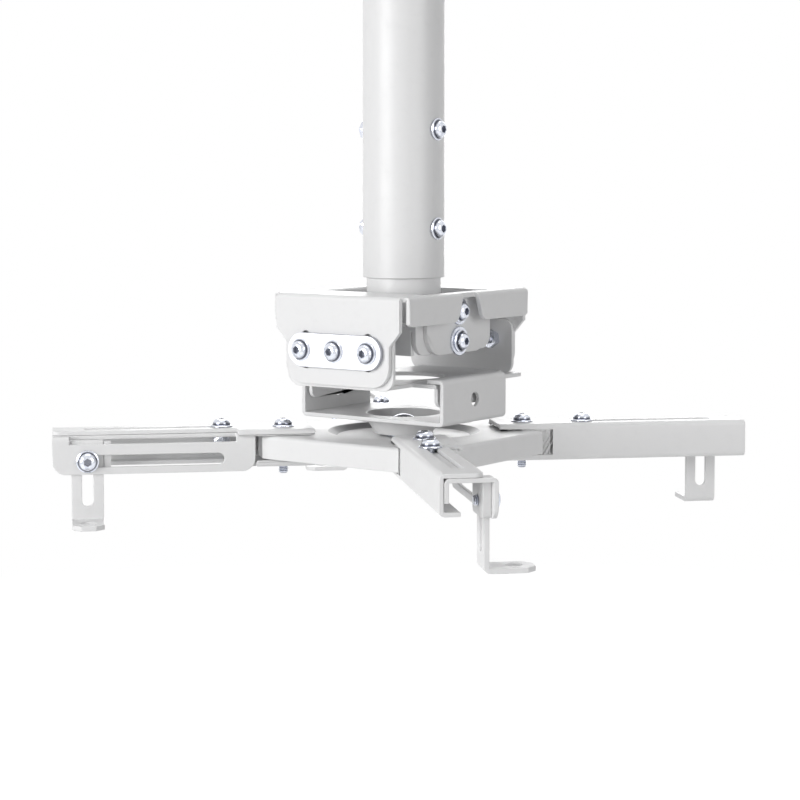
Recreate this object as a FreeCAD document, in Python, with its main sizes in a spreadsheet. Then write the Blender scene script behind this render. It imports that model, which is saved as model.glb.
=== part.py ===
import FreeCAD, Part
import Sketcher
import math
import os

# Projector ceiling mount: telescoping column, tilt head, roll cradle, slide-on bracket, swivel spider and
# four arms. The frame has its origin at the centre of the ceiling plate's upper face, with +Z up.

# Driving dimensions in millimetres and degrees
SIZES = {
    # ceiling plate and column
    "plate_side": 120.0,
    "plate_thick": 4.0,
    "plate_corner": 12.0,
    "plate_hole": 9.0,
    "plate_hole_circle": 127.0,
    "cable_hole": 40.0,
    "tube_outer": 50.0,
    "tube_wall": 2.0,
    "tube_length": 300.0,
    "tube_fit": 0.25,
    "column_bolt_low": 30.0,
    "column_bolt_pitch": 60.0,
    "column_travel": 50.0,
    "inner_overlap": 160.0,
    "head_gap": 8.0,
    # M6 hardware
    "bolt_thread": 6.0,
    "bolt_flange": 13.6,
    "bolt_flange_thick": 1.3,
    "bolt_head": 10.6,
    "bolt_head_top": 7.0,
    "bolt_head_high": 3.4,
    "bolt_socket": 4.0,
    "bolt_socket_deep": 2.2,
    "bolt_stub": 2.5,
    "nut_flats": 10.0,
    "nut_high": 5.0,
    "hole_play": 0.2,
    "slot_wide": 6.6,
    "sheet_gap": 0.1,
    # head box
    "head_wide": 100.0,
    "head_long": 136.0,
    "head_sheet": 3.0,
    "lip_drop": 17.2,
    "lip_corner": 5.0,
    "flange_drop": 53.5,
    "flange_low_wide": 76.0,
    "flange_slope_drop": 11.7,
    "flange_corner": 12.5,
    "relief_hole": 6.4,
    "edge_inset": 1.5,
    "notch_top": 14.0,
    "notch_low": 27.0,
    "notch_corner": 6.0,
    "opening_wide": 75.0,
    "opening_long": 65.0,
    "ear_drop": 37.0,
    "ear_corner": 14.0,
    "fold_outside": 2.8,
    # tilt saddle
    "tilt_depth": 29.5,
    "tilt_lock_rise": 18.0,
    "tilt_washer": 17.5,
    "lock_washer": 16.4,
    "tilt_washer_thick": 1.5,
    "saddle_depth": 18.5,
    "saddle_low": 36.4,
    "saddle_long": 80.0,
    "saddle_corner": 9.0,
    "saddle_sheet": 3.0,
    "saddle_lug_top": 3.5,
    "saddle_lug_wide": 22.0,
    # roll cradle
    "roll_depth": 33.0,
    "roll_radius": 24.3,
    "roll_slot_half_angle": 18.8,
    "tilt_slot_half_angle": 16.5,
    "cradle_sheet": 2.5,
    "cradle_flange_wide": 78.0,
    "cradle_flange_top": 20.0,
    "cradle_flange_corner": 7.0,
    "cradle_wide": 96.4,
    "cradle_long": 70.0,
    "cradle_neck_wide": 62.0,
    "cradle_low_corner": 7.8,
    "rail_drop": 14.0,
    "rail_long": 66.0,
    "rail_corner": 5.0,
    "cradle_window": 50.0,
    "strap_long": 68.4,
    "strap_wide": 20.4,
    "strap_thick": 3.0,
    # lower bracket
    "bracket_wide": 106.0,
    "bracket_long": 68.0,
    "bracket_top": 50.3,
    "bracket_low": 78.1,
    "bracket_sheet": 2.5,
    "bracket_lip": 12.0,
    "bracket_fold": 3.2,
    "set_hole": 8.4,
    "set_hole_depth": 64.0,
    "rail_tap": 5.0,
    "dish_top": 48.0,
    "dish_low": 35.0,
    "dish_deep": 10.0,
    "swivel_thread": 8.0,
    "swivel_washer": 23.0,
    "swivel_washer_thick": 1.6,
    "swivel_head": 13.0,
    "swivel_head_high": 5.0,
    "swivel_nut_high": 6.5,
    "swivel_stub": 3.0,
    # spider
    "spider_half": 71.4,
    "spider_top": 86.7,
    "spider_sheet": 2.5,
    "spider_low": 100.9,
    "spider_tip_margin": 14.4,
    "spider_tip_corner": 3.0,
    "spider_fold": 2.3,
    "recess_outer": 93.0,
    "recess_inner": 82.0,
    "arm_pivot_radius": 74.6,
    "bush_collar": 11.5,
    "bush_collar_thick": 1.6,
    "bush_neck": 9.0,
    "pivot_stub": 3.3,
    # arm channel, measured outward from the arm's pivot and sideways from the arm line
    "arm_sheet": 2.5,
    "arm_back": 17.0,
    "arm_narrow": 7.0,
    "arm_high": 22.7,
    "arm_start_inward": 17.6,
    "arm_web_start": 15.4,
    "arm_wide_end": 28.9,
    "arm_end_margin": 10.0,
    "arm_low_wide": 11.8,
    "arm_low_narrow": 5.5,
    "arm_top_strip": 3.8,
    "arm_low_strip": 4.0,
    "arm_strip_corner": 1.2,
    "arm_fold": 3.2,
    "arm_corner": 5.0,
    "arm_slot_side": 3.3,
    "arm_slot_start": 37.4,
    "arm_slot_margin": 22.0,
    # extension channel
    "nest_gap": 0.3,
    "extension_start": 18.4,
    "extension_top_back": 2.5,
    "extension_leg_low": 15.7,
    "extension_wide": 14.6,
    "extension_wall_low": 25.2,
    "extension_corner": 8.0,
    "window_side": 8.0,
    "window_low": 7.2,
    "window_play": 1.2,
    "side_slot_depth": 17.3,
    "side_slot_wide": 7.2,
    "side_slot_start": 22.3,
    # hook
    "hook_radius": 193.3,
    "hook_wide": 19.0,
    "hook_sheet": 3.0,
    "hook_top": 4.9,
    "hook_long": 50.4,
    "hook_foot_end": 38.0,
    "hook_foot_hole": 9.0,
    "hook_foot_hole_side": 27.0,
    "hook_foot_chamfer": 5.0,
    "hook_fold": 4.0,
    "hook_lift": 24.0,
    # clip behind each hook
    "clip_wide": 28.0,
    "clip_sheet": 1.5,
    "clip_play": 0.25,
    "clip_rise": 11.6,
    "clip_drop": 8.0,
}

ARM_COUNT = 4
ARM_NAMES = ("right", "back", "left", "front")
FIRST_ARM_ANGLE = 45.0


class Size:
    """A length that knows both its value and the expression that drives it."""

    def __init__(self, value, text):
        self.value = float(value)
        self.text = text

    @staticmethod
    def of(other):
        if isinstance(other, Size):
            return other
        return Size(other, repr(float(other)))

    def __add__(self, other):
        other = Size.of(other)
        return Size(self.value + other.value, f"({self.text} + {other.text})")

    def __sub__(self, other):
        other = Size.of(other)
        return Size(self.value - other.value, f"({self.text} - {other.text})")

    def __mul__(self, other):
        other = Size.of(other)
        return Size(self.value * other.value, f"({self.text} * {other.text})")

    def __truediv__(self, other):
        other = Size.of(other)
        return Size(self.value / other.value, f"({self.text} / {other.text})")

    def __neg__(self):
        return Size(-self.value, f"(0 - {self.text})")

    __radd__ = __add__
    __rmul__ = __mul__

    def __rsub__(self, other):
        return Size.of(other) - self


doc = FreeCAD.newDocument("ProjectorCeilingMount")
sheet = doc.addObject("Spreadsheet::Sheet", "Sizes")
for row, (alias, value) in enumerate(SIZES.items(), start=1):
    sheet.set(f"A{row}", alias)
    sheet.set(f"B{row}", str(value))
    sheet.setAlias(f"B{row}", alias)
doc.recompute()


def size(alias):
    return Size(SIZES[alias], f"Sizes.{alias}")


def bind(obj, prop, amount):
    """Tie one property to the sheet, or set it where the amount is a plain number."""
    obj.setExpression(prop, Size.of(amount).text)


def place(obj, x=0, y=0, z=0, axis=(0, 0, 1), angle=0.0):
    turn = FreeCAD.Rotation(FreeCAD.Vector(*axis), angle)
    spot = FreeCAD.Vector(Size.of(x).value, Size.of(y).value, Size.of(z).value)
    obj.Placement = FreeCAD.Placement(spot, turn)
    for letter, amount in zip("xyz", (x, y, z)):
        bind(obj, f"Placement.Base.{letter}", amount)
    return obj


PARTS = []


def keep(obj, label):
    obj.Label = label
    PARTS.append(obj)
    return obj


# Sketch-based pieces

def pin_point(sketch, geo, point, x, y):
    """Hold one point of the sketch at x, y from its origin."""
    for kind, amount, axis in (("DistanceX", x, -2), ("DistanceY", y, -1)):
        amount = Size.of(amount)
        if amount.text in ("0.0", "-0.0"):
            sketch.addConstraint(Sketcher.Constraint("PointOnObject", geo, point, axis))
            continue
        index = sketch.addConstraint(Sketcher.Constraint(kind, -1, 1, geo, point, amount.value))
        sketch.setExpression(f"Constraints[{index}]", amount.text)


def draw_polygon(sketch, corners):
    points = [FreeCAD.Vector(Size.of(x).value, Size.of(y).value, 0) for x, y in corners]
    count = len(points)
    first = sketch.GeometryCount
    for n in range(count):
        sketch.addGeometry(Part.LineSegment(points[n], points[(n + 1) % count]), False)
    for n in range(count):
        sketch.addConstraint(Sketcher.Constraint("Coincident", first + n, 2, first + (n + 1) % count, 1))
    for n, (x, y) in enumerate(corners):
        pin_point(sketch, first + n, 1, x, y)


def draw_rectangle(sketch, x0, y0, x1, y1):
    draw_polygon(sketch, [(x0, y0), (x1, y0), (x1, y1), (x0, y1)])


def draw_circle(sketch, x, y, diameter):
    centre = FreeCAD.Vector(Size.of(x).value, Size.of(y).value, 0)
    radius = Size.of(diameter).value / 2
    geo = sketch.addGeometry(Part.Circle(centre, FreeCAD.Vector(0, 0, 1), radius), False)
    pin_point(sketch, geo, 3, x, y)
    index = sketch.addConstraint(Sketcher.Constraint("Diameter", geo, 2 * radius))
    sketch.setExpression(f"Constraints[{index}]", Size.of(diameter).text)


def draw_slot(sketch, x0, y0, x1, y1, width):
    """Straight slot with round ends, from centre x0, y0 to centre x1, y1 along one sketch axis."""
    a = FreeCAD.Vector(Size.of(x0).value, Size.of(y0).value, 0)
    b = FreeCAD.Vector(Size.of(x1).value, Size.of(y1).value, 0)
    radius = Size.of(width).value / 2
    along = (b - a).normalize()
    side = FreeCAD.Vector(-along.y, along.x, 0) * radius
    heading = math.atan2(along.y, along.x)
    up = FreeCAD.Vector(0, 0, 1)
    quarter = math.pi / 2
    first = sketch.GeometryCount
    ends = ((a, heading + quarter, heading + 3 * quarter), (b, heading - quarter, heading + quarter))
    for centre, start, stop in ends:
        sketch.addGeometry(Part.ArcOfCircle(Part.Circle(centre, up, radius), start, stop), False)
    sketch.addGeometry(Part.LineSegment(a - side, b - side), False)
    sketch.addGeometry(Part.LineSegment(b + side, a + side), False)
    arc_a, arc_b, low, high = range(first, first + 4)
    joins = ((arc_a, 2, low, 1), (low, 2, arc_b, 1), (arc_b, 2, high, 1), (high, 2, arc_a, 1))
    for one, end_one, two, end_two in joins:
        sketch.addConstraint(Sketcher.Constraint("Tangent", one, end_one, two, end_two))
    sketch.addConstraint(Sketcher.Constraint("Equal", arc_a, arc_b))
    pin_point(sketch, arc_a, 3, x0, y0)
    pin_point(sketch, arc_b, 3, x1, y1)
    index = sketch.addConstraint(Sketcher.Constraint("Radius", arc_a, radius))
    sketch.setExpression(f"Constraints[{index}]", (Size.of(width) / 2).text)


def new_body(label):
    body = doc.addObject("PartDesign::Body", label)
    return keep(body, label)


def new_sketch(body, plane, start):
    """Sketch on one origin plane, moved along that plane's positive axis by start."""
    name = f"{body.Label}_sketch_{len(body.Group)}"
    sketch = body.newObject("Sketcher::SketchObject", name)
    role = f"{plane}_Plane"
    support = next(item for item in body.Origin.OriginFeatures if item.Role == role)
    sketch.AttachmentSupport = [(support, "")]
    sketch.MapMode = "FlatFace"
    start = Size.of(start)
    offset = -start if plane == "XZ" else start
    sketch.setExpression("AttachmentOffset.Base.z", offset.text)
    return sketch


def slab(body, plane, low, thick, draw, cut=False):
    """Pad or pocket between low and low + thick, measured along the plane's positive axis."""
    sketch = new_sketch(body, plane, low)
    for function, *sizes in draw:
        function(sketch, *sizes)
    kind = "PartDesign::Pocket" if cut else "PartDesign::Pad"
    feature = body.newObject(kind, f"{body.Label}_{'cut' if cut else 'pad'}_{len(body.Group)}")
    feature.Profile = sketch
    bind(feature, "Length", thick)
    feature.Reversed = (plane == "XZ") != cut
    body.Tip = feature
    return feature


def find_edges(shape, axis, spots):
    """Names of the straight edges along one axis that pass through the given spots."""
    letters = [letter for letter in "xyz" if letter != axis]
    wanted = [[Size.of(amount).value for amount in spot] for spot in spots]
    names = []
    for number, edge in enumerate(shape.Edges, start=1):
        if len(edge.Vertexes) != 2:
            continue
        a, b = (vertex.Point for vertex in edge.Vertexes)
        if abs(getattr(b - a, axis)) < (b - a).Length * 0.999:
            continue
        here = [getattr(a, letter) for letter in letters]
        if any(abs(here[0] - u) < 0.02 and abs(here[1] - v) < 0.02 for u, v in wanted):
            names.append(f"Edge{number}")
    return names


def round_edges(body, axis, spots, radius):
    """Fillet the edges along one axis; spots are the other two coordinates."""
    doc.recompute()
    base = body.Tip
    names = find_edges(base.Shape, axis, spots)
    if not names:
        raise ValueError(f"{body.Label}: no edge along {axis} to round")
    fillet = body.newObject("PartDesign::Fillet", f"{body.Label}_fillet_{len(body.Group)}")
    fillet.Base = (base, names)
    bind(fillet, "Radius", radius)
    body.Tip = fillet
    doc.recompute()
    if "Invalid" in fillet.State or fillet.Shape.isNull():
        raise RuntimeError(f"{body.Label}: rounding along {axis} failed")
    return fillet


def round_rim(body, height, radius):
    """Fillet the outer edges of the body's flat face at one height."""
    doc.recompute()
    base = body.Tip
    level = Size.of(height).value
    rim = []
    for face in base.Shape.Faces:
        box = face.BoundBox
        if abs(box.ZMin - level) < 0.01 and abs(box.ZMax - level) < 0.01:
            rim += face.OuterWire.Edges
    edges = enumerate(base.Shape.Edges, start=1)
    names = [f"Edge{n}" for n, edge in edges if any(edge.isSame(item) for item in rim)]
    fillet = body.newObject("PartDesign::Fillet", f"{body.Label}_fillet_{len(body.Group)}")
    fillet.Base = (base, names)
    bind(fillet, "Radius", radius)
    body.Tip = fillet
    doc.recompute()
    if not names or "Invalid" in fillet.State or fillet.Shape.isNull():
        raise RuntimeError(f"{body.Label}: rounding of the rim failed")
    return fillet


def draw_hexagon(sketch, flats):
    reach = Size.of(flats) / math.sqrt(3)
    corners = []
    for n in range(6):
        side = math.sin(math.radians(60 * n))
        corners.append((reach * math.cos(math.radians(60 * n)), reach * side if n % 3 else 0))
    draw_polygon(sketch, corners)


def on_circle(radius, angle):
    """Offsets of a point at an angle, both bound to the radius and angle."""
    radius, angle = Size.of(radius), Size.of(angle)
    turn = math.radians(angle.value)
    across = Size(radius.value * math.cos(turn), f"({radius.text} * cos({angle.text} * 1 deg))")
    up = Size(radius.value * math.sin(turn), f"({radius.text} * sin({angle.text} * 1 deg))")
    return across, up


def draw_arc_slot(sketch, x, y, radius, middle, half, width):
    """Curved slot about x, y with round ends at middle - half and middle + half degrees."""
    x, y, half, width = (Size.of(amount) for amount in (x, y, half, width))
    centre = FreeCAD.Vector(x.value, y.value, 0)
    up = FreeCAD.Vector(0, 0, 1)
    start, stop = (math.radians(middle + sign * half.value) for sign in (-1, 1))
    outer, inner = Size.of(radius) + width / 2, Size.of(radius) - width / 2
    first = sketch.GeometryCount
    for reach in (outer, inner):
        sketch.addGeometry(Part.ArcOfCircle(Part.Circle(centre, up, reach.value), start, stop), False)
    ends = []
    for sign, turn in ((1, stop), (-1, start)):
        across, rise = on_circle(radius, middle + sign * half)
        ends.append((x + across, y + rise))
        spot = FreeCAD.Vector(ends[-1][0].value, ends[-1][1].value, 0)
        cap = Part.Circle(spot, up, width.value / 2)
        low = turn if sign > 0 else turn + math.pi
        sketch.addGeometry(Part.ArcOfCircle(cap, low, low + math.pi), False)
    big, small, cap_stop, cap_start = range(first, first + 4)
    joins = ((big, 2, cap_stop, 1), (cap_stop, 2, small, 2), (small, 1, cap_start, 1), (cap_start, 2, big, 1))
    for one, end_one, two, end_two in joins:
        sketch.addConstraint(Sketcher.Constraint("Tangent", one, end_one, two, end_two))
    pin_point(sketch, big, 3, x, y)
    pin_point(sketch, cap_stop, 3, *ends[0])
    pin_point(sketch, cap_start, 3, *ends[1])
    for geo, reach in ((big, outer), (small, inner)):
        index = sketch.addConstraint(Sketcher.Constraint("Radius", geo, reach.value))
        sketch.setExpression(f"Constraints[{index}]", reach.text)


def turned(body, corners):
    """Revolve a closed profile of radius and height corners about the body's Z axis."""
    sketch = new_sketch(body, "XZ", 0)
    draw_polygon(sketch, corners)
    feature = body.newObject("PartDesign::Revolution", f"{body.Label}_turned_{len(body.Group)}")
    feature.Profile = sketch
    axis = next(item for item in body.Origin.OriginFeatures if item.Role == "Z_Axis")
    feature.ReferenceAxis = (axis, [""])
    feature.Angle = 360.0
    body.Tip = feature
    return feature


# Fasteners: flanged button-head bolt, most with the nut run on, seat at the origin, head towards +Z

HEADINGS = {
    "+X": ((0, 1, 0), 90.0),
    "-X": ((0, 1, 0), -90.0),
    "+Y": ((1, 0, 0), -90.0),
    "-Y": ((1, 0, 0), 90.0),
    "+Z": ((0, 0, 1), 0.0),
}


def make_bolt(label, grip, bare_end=None):
    body = new_body(label)
    radius = size("bolt_thread") / 2
    flange = size("bolt_flange") / 2
    head = size("bolt_head") / 2
    crown = size("bolt_head_top") / 2
    seat = size("bolt_flange_thick")
    top = seat + size("bolt_head_high")
    shoulder = seat + size("bolt_head_high") * 0.55
    low = -(Size.of(grip) + (size("nut_high") + size("bolt_stub") if bare_end is None else bare_end))
    turned(body, [
        (0, low), (radius - 0.5, low), (radius, low + 0.5), (radius, 0), (flange, 0),
        (flange, seat * 0.55), (head, seat), (head - 0.3, shoulder), (crown, top), (0, top),
    ])
    if bare_end is None:
        nut = size("nut_high")
        slab(body, "XY", -(Size.of(grip) + nut), nut, [(draw_hexagon, size("nut_flats"))])
    socket = size("bolt_socket_deep")
    slab(body, "XY", top - socket, socket + 1, [(draw_hexagon, size("bolt_socket"))], cut=True)
    return body


def seat_bolt(body, heading, x, y, z):
    axis, angle = HEADINGS[heading]
    return place(body, x, y, z, axis, angle)


# Shared heights and clearances
hole = size("bolt_thread") + size("hole_play")
gap = size("sheet_gap")
tube_low = -(size("plate_thick") + size("tube_length"))
head_top = tube_low - size("head_gap")
pivot_z = head_top - size("tilt_depth")
roll_z = head_top - size("roll_depth")
arm_top = head_top - size("spider_top") + size("bush_collar_thick") + size("arm_sheet")

# Ceiling plate
body = new_body("ceiling_plate")
half = size("plate_side") / 2
slab(body, "XY", -size("plate_thick"), size("plate_thick"), [(draw_rectangle, -half, -half, half, half)])
round_edges(body, "z", [(u * half, v * half) for u in (-1, 1) for v in (-1, 1)], size("plate_corner"))
reach = size("plate_hole_circle") / 2 / math.sqrt(2)
holes = [(draw_circle, u * reach, v * reach, size("plate_hole")) for u in (-1, 1) for v in (-1, 1)]
slab(body, "XY", -size("plate_thick") - 1, size("plate_thick") + 2, holes, cut=True)
cable = [(draw_circle, 0, 0, size("cable_hole"))]
slab(body, "XY", -size("plate_thick") - 1, size("plate_thick") + 2, cable, cut=True)

# Outer tube of the column, with cross holes for the two through bolts
low_bolt_z = tube_low + size("column_bolt_low")
bolt_heights = [low_bolt_z, low_bolt_z + size("column_bolt_pitch")]
body = new_body("outer_tube")
slab(body, "XY", tube_low, size("tube_length"), [
    (draw_circle, 0, 0, size("tube_outer")),
    (draw_circle, 0, 0, size("tube_outer") - 2 * size("tube_wall")),
])
cross = [(draw_circle, 0, z, hole) for z in bolt_heights]
slab(body, "YZ", -size("tube_outer"), 2 * size("tube_outer"), cross, cut=True)
for name, z in zip(("low", "high"), bolt_heights):
    bolt = make_bolt(f"column_bolt_{name}", size("tube_outer") + 2 * gap)
    seat_bolt(bolt, "+X", size("tube_outer") / 2 + gap, 0, z)

# Inner tube, standing on the tilt saddle, with a slot over each through bolt
body = new_body("inner_tube")
saddle_top = head_top - size("saddle_depth")
inner_top = tube_low + size("inner_overlap")
inner_size = size("tube_outer") - 2 * size("tube_wall") - 2 * size("tube_fit")
slab(body, "XY", saddle_top, inner_top - saddle_top, [
    (draw_circle, 0, 0, inner_size),
    (draw_circle, 0, 0, inner_size - 2 * size("tube_wall")),
])
slots = [(draw_slot, 0, z, 0, z + size("column_travel"), size("slot_wide")) for z in bolt_heights]
slab(body, "YZ", -size("tube_outer"), 2 * size("tube_outer"), slots, cut=True)

# Tilt saddle: a folded box open below, with a lug on each side for the lock bolt
body = new_body("tilt_saddle")
outer = size("opening_wide") / 2 - gap
inner = outer - size("saddle_sheet")
long = size("saddle_long") / 2
lug = size("saddle_lug_wide") / 2
low = head_top - size("saddle_low")
lug_top = head_top - size("saddle_lug_top")
slab(body, "XY", saddle_top - size("saddle_sheet"), size("saddle_sheet"), [
    (draw_rectangle, -outer, -long, outer, long),
])
side = [(-long, low), (long, low), (long, saddle_top), (lug, saddle_top), (lug, lug_top), (-lug, lug_top),
        (-lug, saddle_top), (-long, saddle_top)]
lock_z = pivot_z + size("tilt_lock_rise")
for x in (inner, -outer):
    slab(body, "YZ", x, size("saddle_sheet"), [(draw_polygon, side)])
round_edges(body, "x", [(y, low) for y in (-long, long)], size("saddle_corner"))
round_edges(body, "x", [(y, lug_top) for y in (-lug, lug)], size("lip_corner"))
for y in (long - size("saddle_sheet"), -long):
    slab(body, "XZ", y, size("saddle_sheet"), [(draw_rectangle, -inner + 0.4, low, inner - 0.4, saddle_top)])
holes = [(draw_circle, 0, pivot_z, hole), (draw_circle, 0, lock_z, hole)]
slab(body, "YZ", -size("head_wide"), 2 * size("head_wide"), holes, cut=True)
slab(body, "XY", saddle_top - size("saddle_sheet") - 1, size("saddle_sheet") + 2, [
    (draw_circle, 0, 0, inner_size - 2 * size("tube_wall")),
], cut=True)
ear_out = size("opening_wide") / 2 + size("head_sheet")
lock_grip = size("head_sheet") + size("saddle_sheet") + 2 * gap
washer_high = size("tilt_washer_thick")
for name, sign, heading in (("right", 1, "+X"), ("left", -1, "-X")):
    washer = new_body(f"tilt_lock_washer_{name}")
    slab(washer, "XY", 0, washer_high, [
        (draw_circle, 0, 0, size("lock_washer")),
        (draw_circle, 0, 0, hole),
    ])
    seat_bolt(washer, heading, sign * (ear_out + gap), 0, lock_z)
    bolt = make_bolt(f"tilt_lock_bolt_{name}", lock_grip + washer_high)
    seat_bolt(bolt, heading, sign * (ear_out + gap + washer_high), 0, lock_z)

# Head box: one folded sheet with two notched lips, two wide flanges and two inner ears
body = new_body("head_box")
wide = size("head_wide") / 2
long = size("head_long") / 2
thick = size("head_sheet")
open_x = size("opening_wide") / 2
open_y = size("opening_long") / 2
slab(body, "XY", head_top - thick, thick, [(draw_rectangle, -wide, -long, wide, long)])
slab(body, "XY", head_top - thick - 1, thick + 2, [
    (draw_rectangle, -open_x, -open_y, open_x, open_y),
], cut=True)
lip_y = long - thick
lip_low = head_top - size("lip_drop")
for x in (wide - thick, -wide):
    slab(body, "YZ", x, thick, [(draw_rectangle, -lip_y, lip_low, lip_y, head_top)])
round_edges(body, "x", [(s * lip_y, lip_low) for s in (-1, 1)], size("lip_corner"))
ear_low = head_top - size("ear_drop")
for x in (open_x, -open_x - thick):
    slab(body, "YZ", x, thick, [(draw_rectangle, -open_y, ear_low, open_y, head_top)])
round_edges(body, "x", [(s * open_y, ear_low) for s in (-1, 1)], size("ear_corner"))
flange_x = wide - size("edge_inset")
flange_low_x = size("flange_low_wide") / 2
slope_low = lip_low - size("flange_slope_drop")
flange_low = head_top - size("flange_drop")
flange = [
    (-flange_low_x, flange_low), (flange_low_x, flange_low), (flange_low_x, slope_low), (flange_x, lip_low),
    (flange_x, head_top), (-flange_x, head_top), (-flange_x, lip_low), (-flange_low_x, slope_low),
]
for y in (long - thick, -long):
    slab(body, "XZ", y, thick, [(draw_polygon, flange)])
round_edges(body, "y", [(s * flange_low_x, flange_low) for s in (-1, 1)], size("flange_corner"))
round_edges(body, "y", [(s * wide, head_top) for s in (-1, 1)], size("fold_outside"))
round_edges(body, "y", [(s * open_x, head_top) for s in (-1, 1)], size("fold_outside"))
round_edges(body, "x", [(s * long, head_top) for s in (-1, 1)], size("fold_outside"))
notch = [(-size("notch_low") / 2, lip_low), (-size("notch_top") / 2, head_top + 1),
         (size("notch_top") / 2, head_top + 1), (size("notch_low") / 2, lip_low)]
for x in (wide - thick, -wide):
    slab(body, "YZ", x, thick, [(draw_polygon, notch)], cut=True)
round_edges(body, "x", [(s * size("notch_low") / 2, lip_low) for s in (-1, 1)], size("notch_corner"))
slab(body, "YZ", -2 * wide, 4 * wide, [
    (draw_circle, 0, pivot_z, hole),
    (draw_arc_slot, 0, pivot_z, size("tilt_lock_rise"), 90, size("tilt_slot_half_angle"), size("slot_wide")),
], cut=True)
roll_slots = [
    (draw_arc_slot, 0, roll_z, size("roll_radius"), middle, size("roll_slot_half_angle"), size("slot_wide"))
    for middle in (0, 180)
]
slab(body, "XZ", -2 * long, 4 * long, [(draw_circle, 0, roll_z, hole)] + roll_slots, cut=True)
inset = size("edge_inset")
reliefs = [
    (draw_circle, u * (wide - inset), v * (long - inset), size("relief_hole")) for u in (-1, 1) for v in (-1, 1)
]
slab(body, "XY", lip_low - 4, size("lip_drop") + 5, reliefs, cut=True)
for name, sign, heading in (("right", 1, "+X"), ("left", -1, "-X")):
    washer = new_body(f"tilt_washer_{name}")
    slab(washer, "XY", 0, washer_high, [
        (draw_circle, 0, 0, size("tilt_washer")),
        (draw_circle, 0, 0, hole),
    ])
    seat_bolt(washer, heading, sign * ear_out, 0, pivot_z)
    bolt = make_bolt(f"tilt_pivot_bolt_{name}", lock_grip + washer_high)
    seat_bolt(bolt, heading, sign * (ear_out + washer_high), 0, pivot_z)

# Roll cradle: one folded sheet with two flanges turned up and two rails turned down
body = new_body("roll_cradle")
sheet_thick = size("cradle_sheet")
cradle_top = head_top - size("bracket_top") - size("bracket_sheet") - gap
wide = size("cradle_wide") / 2
long = size("cradle_long") / 2
flange_out = lip_y - gap
flange_x = size("cradle_flange_wide") / 2
neck = size("cradle_neck_wide") / 2
slab(body, "XY", cradle_top - sheet_thick, sheet_thick, [(draw_polygon, [
    (-wide, -long), (-neck, -long), (-neck, -flange_out), (neck, -flange_out), (neck, -long), (wide, -long),
    (wide, long), (neck, long), (neck, flange_out), (-neck, flange_out), (-neck, long), (-wide, long),
])])
flange_top = head_top - size("cradle_flange_top")
for y in (flange_out - sheet_thick, -flange_out):
    slab(body, "XZ", y, sheet_thick, [
        (draw_rectangle, -flange_x, cradle_top - sheet_thick, flange_x, flange_top),
    ])
round_edges(body, "y", [(s * flange_x, flange_top) for s in (-1, 1)], size("cradle_flange_corner"))
round_edges(body, "y", [(s * flange_x, cradle_top - sheet_thick) for s in (-1, 1)], size("cradle_low_corner"))
rail_y = size("rail_long") / 2
rail_low = cradle_top - size("rail_drop")
for x in (wide - sheet_thick, -wide):
    slab(body, "YZ", x, sheet_thick, [(draw_rectangle, -rail_y, rail_low, rail_y, cradle_top)])
round_edges(body, "x", [(s * rail_y, rail_low) for s in (-1, 1)], size("rail_corner"))
round_edges(body, "y", [(s * wide, cradle_top) for s in (-1, 1)], size("cradle_sheet") * 0.8)
set_z = head_top - size("set_hole_depth")
slab(body, "YZ", -2 * wide, 4 * wide, [(draw_circle, 0, set_z, size("rail_tap"))], cut=True)
slab(body, "XY", cradle_top - sheet_thick - 1, sheet_thick + 2, [
    (draw_circle, 0, 0, size("cradle_window")),
], cut=True)
roll_spots = (("left", -size("roll_radius")), ("middle", 0), ("right", size("roll_radius")))
slab(body, "XZ", -2 * flange_out, 4 * flange_out, [
    (draw_circle, x, roll_z, hole) for name, x in roll_spots
], cut=True)
box_out = size("head_long") / 2
strap_half = (size("strap_long") - size("strap_wide")) / 2
roll_grip = size("strap_thick") + size("head_sheet") + sheet_thick + 2 * gap
for name, sign, heading in (("front", -1, "-Y"), ("back", 1, "+Y")):
    strap = new_body(f"roll_strap_{name}")
    near = box_out + gap if sign > 0 else -(box_out + gap + size("strap_thick"))
    slab(strap, "XZ", near, size("strap_thick"), [
        (draw_slot, -strap_half, roll_z, strap_half, roll_z, size("strap_wide")),
    ])
    slab(strap, "XZ", near - 1, size("strap_thick") + 2, [
        (draw_circle, x, roll_z, hole) for spot, x in roll_spots
    ], cut=True)
    for spot, x in roll_spots:
        bolt = make_bolt(f"roll_bolt_{name}_{spot}", roll_grip)
        seat_bolt(bolt, heading, x, sign * (box_out + gap + size("strap_thick")), roll_z)

# Lower bracket: channel with inward lips and a pressed dish in its floor
body = new_body("lower_bracket")
wide = size("bracket_wide") / 2
long = size("bracket_long") / 2
thick = size("bracket_sheet")
top = head_top - size("bracket_top")
low = head_top - size("bracket_low")
lip_x = wide - size("bracket_lip")
inner = wide - thick
slab(body, "XZ", -long, 2 * long, [(draw_polygon, [
    (-wide, low), (wide, low), (wide, top), (lip_x, top), (lip_x, top - thick), (inner, top - thick),
    (inner, low + thick), (-inner, low + thick), (-inner, top - thick), (-lip_x, top - thick), (-lip_x, top),
    (-wide, top),
])])
round_edges(body, "y", [(s * wide, z) for s in (-1, 1) for z in (low, top)], size("bracket_fold"))
slab(body, "YZ", -2 * wide, 4 * wide, [(draw_circle, 0, set_z, size("set_hole"))], cut=True)
dish_top = size("dish_top") / 2
dish_low = size("dish_low") / 2
deep = low - size("dish_deep")
bore = (size("swivel_thread") + size("hole_play")) / 2
slab(body, "XY", low - 1, thick + 2, [(draw_circle, 0, 0, size("dish_top"))], cut=True)
turned(body, [
    (bore, deep), (dish_low, deep), (dish_top, low), (dish_top + 1, low), (dish_top + 1, low + thick),
    (dish_top - 0.8, low + thick), (dish_low - 0.8, deep + thick), (bore, deep + thick),
])
washer = new_body("swivel_washer")
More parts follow.
